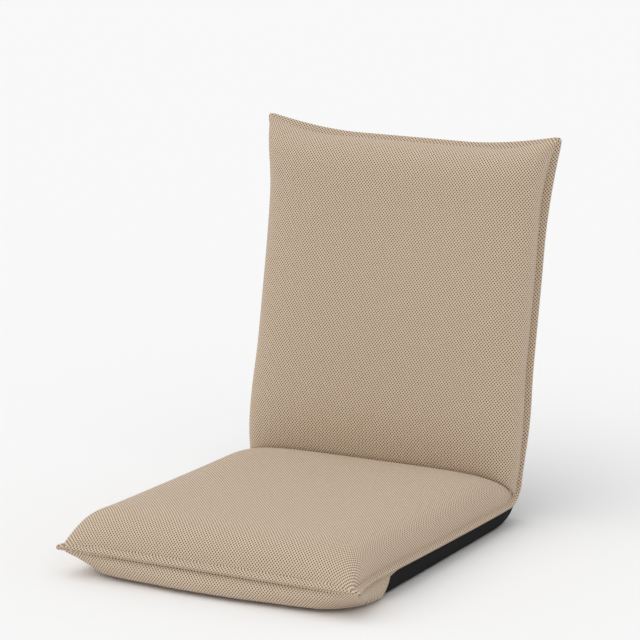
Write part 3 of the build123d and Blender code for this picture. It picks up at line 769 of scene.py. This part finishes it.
seat_block = foam_block("seat", "seat_foam_block")
back_block = foam_block("backrest", "back_foam_block")
print("foam blocks", len(seat_block.data.polygons), "faces each")

# %% lower foam
tray_start = 60.0
tray_back = 41.0  # behind the far seam, inside the tube's far run
tray_side = 9.0  # inside the side seam
tray_corner = 60.0
along_steps, turn_steps, across_steps = 20, 9, 11
sheet_foam = 5.5  # height of the sheet's upper face
rim_height, rim_width = 25.0, 4.0
rim_section = [  # from the outside in and up, over the rim and down to the sheet: inset and height
    (10.0, 1.5), (4.0, 1.7), (1.0, 3.5), (0.0, 7.0),
    (0.0, rim_height - 3), (1.2, rim_height - 0.8), (rim_width / 2, rim_height),
    (rim_width - 1.2, rim_height - 0.8), (rim_width, rim_height - 3),
    (rim_width + 0.6, sheet_foam + 1.5), (rim_width + 3, sheet_foam), (rim_width + 8, sheet_foam),
]


def foam_tray(half, name):
    """The thin foam under the frame, with its rim, as one closed skin."""
    end = far_seam(half) - tray_back
    side = half_body - tray_side
    outline = [(side, along) for along in np.linspace(tray_start, end - tray_corner, along_steps)]
    for turn in np.linspace(0, math.pi / 2, turn_steps + 1)[1:]:
        in_across, in_along = 1 - math.cos(turn), 1 - math.sin(turn)
        outline.append((side - tray_corner * in_across, end - tray_corner * in_along))
    outline += [(across, end) for across in np.linspace(side - tray_corner, 0, across_steps + 1)[1:]]
    outline = np.array(outline)
    outline = np.concatenate([outline, (outline * mirror[:2])[-2::-1]])
    toward = np.array((0.0, (tray_start + end) / 2)) - outline
    toward /= np.linalg.norm(toward, axis=1)[:, None]
    grid = np.array([place(half, *(outline + toward * inset).T, height) for inset, height in rim_section])
    rows, columns = grid.shape[:2]
    faces = grid_faces(rows, columns, ring=True) + end_faces(rows, columns)
    return make_object(name, grid, faces, thread_lengths(grid))


seat_tray = foam_tray("seat", "seat_foam_tray")
back_tray = foam_tray("backrest", "back_foam_tray")
print("foam trays", len(seat_tray.data.polygons), "faces each")

# %% [markdown]
# ## Shader maths
# A weave is arithmetic on the thread lengths. Written as nodes it is a thicket, so one small class lets a
# socket be added, subtracted and multiplied like a number, and each operation adds its Math node. Colours
# never go through it: they are mixed by Mix nodes.


# %% numbers
class Number:
    """A socket that can stand in arithmetic."""

    def __init__(self, finish, socket):
        self.finish = finish
        self.socket = socket

    def maths(self, operation, *others):
        """The result of one Math node."""
        values = dict(enumerate((self, *others)))
        node = self.finish.node("ShaderNodeMath", {"operation": operation}, values)
        return Number(self.finish, node.outputs[0])

    def __add__(self, other):
        return self.maths("ADD", other)

    def __sub__(self, other):
        return self.maths("SUBTRACT", other)

    def __rsub__(self, other):
        return (self * -1.0) + other

    def __mul__(self, other):
        return self.maths("MULTIPLY", other)

    __radd__ = __add__
    __rmul__ = __mul__

    def wave(self, pitch):
        """A cosine that repeats at each pitch."""
        return (self * (2 * math.pi / pitch)).maths("COSINE")

    def ease(self, low, high):
        """0 below low, 1 above high and smooth between."""
        values = {"Value": self, "From Min": low, "From Max": high}
        node = self.finish.node("ShaderNodeMapRange", {"interpolation_type": "SMOOTHSTEP"}, values)
        return Number(self.finish, node.outputs["Result"])


print("numbers can be added, subtracted, multiplied, waved and eased")


# %% finishes
class Finish:
    """A material, or the studio's world, that is being put together."""

    def __init__(self, name, kept_in=bpy.data.materials):
        self.owner = kept_in.new(name)
        self.owner.use_nodes = True
        self.tree = self.owner.node_tree
        self.tree.nodes.clear()

    def node(self, kind, settings=None, values=None):
        """Add a node: its settings first, then each socket's value or link."""
        made = self.tree.nodes.new(kind)
        for key, value in (settings or {}).items():
            setattr(made, key, value)
        for key, value in (values or {}).items():
            socket = made.inputs[key]
            if isinstance(value, Number):
                value = value.socket
            if isinstance(value, bpy.types.NodeSocket):
                self.tree.links.new(value, socket)
            elif isinstance(value, tuple) and len(value) == 3 and socket.type == "RGBA":
                socket.default_value = (*value, 1.0)
            else:
                socket.default_value = value
        return made

    def number(self, socket):
        """A socket that can stand in arithmetic in this finish."""
        return Number(self, socket)

    def threads(self):
        """Length across and along the cloth, in millimetres."""
        uv = self.node("ShaderNodeUVMap", {"uv_map": "threads"})
        split = self.node("ShaderNodeSeparateXYZ", values={"Vector": uv.outputs["UV"]})
        return self.number(split.outputs["X"]) * 1000.0, self.number(split.outputs["Y"]) * 1000.0

    def place(self):
        """The point on the object, in metres."""
        return self.node("ShaderNodeTexCoord").outputs["Object"]

    def grain(self, scale, detail=2.0, rough=0.5, stretch=(1.0, 1.0, 1.0)):
        """Cloudy noise about 0.5."""
        spot = self.node("ShaderNodeMapping", values={"Vector": self.place(), "Scale": stretch})
        values = {"Vector": spot.outputs["Vector"], "Scale": scale, "Detail": detail, "Roughness": rough}
        return self.number(self.node("ShaderNodeTexNoise", values=values).outputs["Fac"])

    def blend(self, share, first, second):
        """A colour between two others."""
        settings = {"data_type": "RGBA", "clamp_factor": True}
        values = {"Factor": share, 6: first, 7: second}
        return self.node("ShaderNodeMix", settings, values).outputs[2]

    def bump(self, height, distance, strength=1.0):
        """A surface normal from a height."""
        values = {"Height": height, "Distance": distance, "Strength": strength}
        return self.node("ShaderNodeBump", values=values).outputs["Normal"]

    def surface(self, **values):
        """Finish with one shader, and return the material."""
        named = {key.replace("_", " "): value for key, value in values.items()}
        shader = self.node("ShaderNodeBsdfPrincipled", values=named)
        self.node("ShaderNodeOutputMaterial", values={"Surface": shader.outputs["BSDF"]})
        return self.owner


print("a finish takes nodes")


# %% wearing a finish
def wear(piece, material):
    """Put a material on a made piece or on a CAD node."""
    if piece.material_slots:
        for held in piece.material_slots:
            held.material = material
    else:
        piece.data.materials.append(material)


print(len(frame["nodes"]), "CAD nodes and the soft pieces can be dressed")

# %% [markdown]
# ## Air mesh
# The cover's face is a warp-knit spacer mesh: rows of small open pores, every second row offset by half, so
# that they read as a diamond lattice. The product of two cosines has its tops exactly on such a
# lattice. It paints the pores with the dark shade that falls inside the open mesh, hollows them in the
# bump and leaves the yarn between them light.

# %% air mesh
pore_pitch = 5.0
row_pitch = 5.8  # two rows of pores
yarn_light = (0.735, 0.585, 0.44)
yarn_dark = (0.675, 0.53, 0.392)
# painted shade: the open pores get the dark of the shade inside the mesh, not a colour of the yarn
pore_shade_colour = (0.095, 0.06, 0.036)
sheen_tint = (0.9, 0.85, 0.78)


def air_mesh(name, pitch=pore_pitch, rows=row_pitch, solid=0.6):
    """Beige spacer mesh; a lower solid share gives larger pores."""
    finish = Finish(name)
    u, v = finish.threads()
    lattice = u.wave(pitch) * v.wave(rows)
    # where the pores are, painted shade darkens the yarn colour
    pore_shade = lattice.ease(solid - 0.6, solid)
    slub = finish.grain(320.0, 2.0, 0.6)
    yarn = finish.blend(slub.ease(0.3, 0.7), yarn_light, yarn_dark)
    colour = finish.blend(pore_shade, yarn, pore_shade_colour)
    fuzz = finish.grain(900.0, 2.0, 0.6)
    relief = (1 - lattice.ease(-0.2, 0.9)) + fuzz * 0.25
    return finish.surface(
        Base_Color=colour,
        Roughness=0.85 + pore_shade * 0.1,
        Normal=finish.bump(relief, 0.0006, 0.7),
        Sheen_Weight=0.25,
        Sheen_Roughness=0.5,
        Sheen_Tint=sheen_tint,
        Specular_IOR_Level=0.25,
    )


cover_mesh = air_mesh("beige_air_mesh")
flange_mesh = air_mesh("flange_air_mesh", pitch=5.4, solid=0.55)  # stretched a little, so more open
print("air mesh has", len(cover_mesh.node_tree.nodes), "nodes")

# %% black cloth and foam
cloth_dark, cloth_light = (0.013, 0.0135, 0.0135), (0.019, 0.020, 0.0195)
thread_colour = (0.003, 0.003, 0.003)
weft_pitch, warp_pitch = 3.2, 3.6
foam_dark, foam_light = (0.62, 0.54, 0.34), (0.86, 0.80, 0.62)


def black_cloth():
    """Plain woven black cloth with a fine rib."""
    finish = Finish("black_woven_cloth")
    u, v = finish.threads()
    thread = u.wave(weft_pitch) * v.wave(warp_pitch) * 0.5 + 0.5
    cloud = finish.grain(40.0, 3.0, 0.6)
    tone = finish.blend(cloud.ease(0.25, 0.75), cloth_dark, cloth_light)
    colour = finish.blend(thread.ease(0.1, 0.9), tone, thread_colour)
    return finish.surface(
        Base_Color=colour,
        Roughness=0.7 + cloud * 0.15,
        Normal=finish.bump(thread, 0.0003, 0.6),
        Specular_IOR_Level=0.12,
    )


def cream_foam():
    """Open-celled foam."""
    finish = Finish("cream_foam")
    cells = finish.grain(700.0, 3.0, 0.7)
    colour = finish.blend(cells.ease(0.35, 0.65), foam_dark, foam_light)
    return finish.surface(Base_Color=colour, Roughness=0.95, Normal=finish.bump(cells, 0.0008, 0.6))


base_cloth = black_cloth()
foam_finish = cream_foam()
print("cloth and foam ready")

# %% [markdown]
# ## Steel, straps and zip
# Inside, the tubes are painted black, the plates are pressed from zinc-plated sheet with a faint brushed
# grain, the rivets are brighter, and the spring is blued. They share one metal recipe with different
# numbers.


# %% metals
def metal(name, light, dark, rough, brushed=1.0, metallic=1.0):
    """Plated or painted metal with a faint grain and clouded tone."""
    finish = Finish(name)
    cloud = finish.grain(60.0, 4.0, 0.6)
    scratch = finish.grain(420.0, 2.0, 0.5, (1.0, 0.06, 1.0))
    colour = finish.blend(cloud.ease(0.3, 0.7), light, dark)
    return finish.surface(
        Base_Color=colour,
        Metallic=metallic,
        Roughness=(cloud - 0.5) * 0.25 + rough + (scratch - 0.5) * 0.15 * brushed,
        Normal=finish.bump(scratch, 0.00008 * brushed + 0.00002, 0.4),
    )


# The numbers are the two tones, the roughness, the share of brushing and how metallic it is.
metals = {
    "frame_paint": metal("black_frame_paint", (0.022, 0.022, 0.023), (0.032, 0.032, 0.033), 0.4, 0.3, 0.0),
    "hinge_steel": metal("zinc_plated_steel", (0.60, 0.59, 0.55), (0.50, 0.47, 0.38), 0.36),
    "rivet_steel": metal("plated_rivet_steel", (0.66, 0.66, 0.66), (0.55, 0.55, 0.56), 0.3, 0.4),
    "spring_steel": metal("blued_spring_steel", (0.24, 0.26, 0.32), (0.33, 0.33, 0.36), 0.3, 0.5),
    "zinc": metal("black_lacquered_zinc", (0.03, 0.03, 0.03), (0.05, 0.05, 0.05), 0.35, 0.2, 0.2),
}


rib_pitch, pick_pitch = 0.0022, 0.0016  # metres
strap_dark, strap_light = (0.012, 0.012, 0.013), (0.045, 0.045, 0.048)
tape_dark, tape_light = (0.012, 0.012, 0.012), (0.03, 0.03, 0.03)


def webbing():
    """Black woven straps with ribs along them."""
    finish = Finish("black_webbing")
    split = finish.node("ShaderNodeSeparateXYZ", values={"Vector": finish.place()})
    ribs = finish.number(split.outputs["X"]).wave(rib_pitch)
    picks = finish.number(split.outputs["Y"]).wave(pick_pitch)
    weave = ribs * picks * 0.5 + 0.5
    colour = finish.blend(weave.ease(0.2, 0.8), strap_dark, strap_light)
    relief = finish.bump(weave, 0.0003, 0.6)
    return finish.surface(Base_Color=colour, Roughness=0.75, Normal=relief, Sheen_Weight=0.2)


def zip_tape():
    """Fine woven tape."""
    finish = Finish("black_zip_tape")
    cloud = finish.grain(1500.0, 2.0, 0.6)
    colour = finish.blend(cloud.ease(0.3, 0.7), tape_dark, tape_light)
    return finish.surface(Base_Color=colour, Roughness=0.8, Normal=finish.bump(cloud, 0.0002, 0.5))


strap_finish = webbing()
tape_finish = zip_tape()
print(len(metals), "metals")

# %% dress the pieces
slots = {s["node"]: s["material_slot"] for s in frame["record"]["subparts"]}
for node, made in frame["nodes"].items():
    held = slots[node]
    if held in metals:
        wear(made, metals[held])
    elif held == "webbing":
        wear(made, strap_finish)
    elif held == "zip_cloth":
        wear(made, tape_finish)
for piece in (pad_cover, front_cap, top_cap):
    wear(piece, cover_mesh)
wear(seam_flange, flange_mesh)
wear(base_cover, base_cloth)
for piece in (seat_block, back_block, seat_tray, back_tray):
    wear(piece, foam_finish)
print("dressed", len(slots), "nodes")

# %% [markdown]
# ## What moves with what
# The cover, the flange and the black cloth cross the hinge, so they stay where they are made and ride on
# neither half. Everything else rides on its own half.

# %% bodies
for piece in (pad_cover, seam_flange, base_cover):
    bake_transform(piece)
for piece in (front_cap, seat_block, seat_tray):
    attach(piece, "seat")
for piece in (top_cap, back_block, back_tray):
    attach(piece, "backrest")
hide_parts("seat_cover", "back_cover")
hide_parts("seat_flange", "back_flange")
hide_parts("seat_base_cover", "back_rear_cover", "corner_gusset")
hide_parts("seat_front_cap")
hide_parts("back_top_cap")
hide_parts("seat_foam")
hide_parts("back_foam")
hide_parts("seat_lower_foam")
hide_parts("back_lower_foam")

# %% [markdown]
# ## Floor and light
# The chair stands on a seamless pale floor under a very soft studio light: a bright dome, and one wide
# lamp that gives the shadow its side. The view transform is plain, so a colour renders about as
# it is written.

# %% floor
floor_half = 20.0
floor_gap = 0.003  # the base stands off the floor by this much, so its contact line shows
paper_tone = (0.962, 0.962, 0.962)
corners = [(floor_half * x, floor_half * y, 0) for x, y in ((-1, -1), (1, -1), (1, 1), (-1, 1))]
floor_mesh = bpy.data.meshes.new("floor")
floor_mesh.from_pydata(corners, [], [(0, 1, 2, 3)])
floor = bpy.data.objects.new("floor", floor_mesh)
bpy.context.scene.collection.objects.link(floor)
floor.location.z = -floor_gap
paper = Finish("pale_floor")
wear(floor, paper.surface(Base_Color=paper_tone, Roughness=1.0, Specular_IOR_Level=0.0))
print("floor", 2 * floor_half, "m wide")

# %% light
dome_level = 0.74
backdrop_level = 0.94  # what the camera, gloss and glass see of it
lamp_power = 0.85
lamp_width = math.radians(80)
lamp_tilt, lamp_roll = math.radians(18), math.radians(-22)
studio = Finish("studio", bpy.data.worlds)
bpy.context.scene.world = studio.owner
rays = studio.node("ShaderNodeLightPath").outputs
seen = studio.number(rays["Is Camera Ray"])
for kind in ("Is Glossy Ray", "Is Transmission Ray"):
    seen = seen + studio.number(rays[kind])
levels = {"Value": seen, "To Min": dome_level, "To Max": backdrop_level}
strength = studio.node("ShaderNodeMapRange", values=levels).outputs["Result"]
dome = studio.node("ShaderNodeBackground", values={"Color": (1.0, 1.0, 1.0), "Strength": strength})
studio.node("ShaderNodeOutputWorld", values={"Surface": dome.outputs["Background"]})
lamp = bpy.data.objects.new("soft_lamp", bpy.data.lights.new("soft_lamp", "SUN"))
lamp.data.energy = lamp_power
lamp.data.angle = lamp_width
lamp.rotation_euler = (lamp_tilt, lamp_roll, 0)
bpy.context.scene.collection.objects.link(lamp)
bpy.context.scene.view_settings.view_transform = "Standard"
print("dome", dome_level, "and lamp", lamp_power)
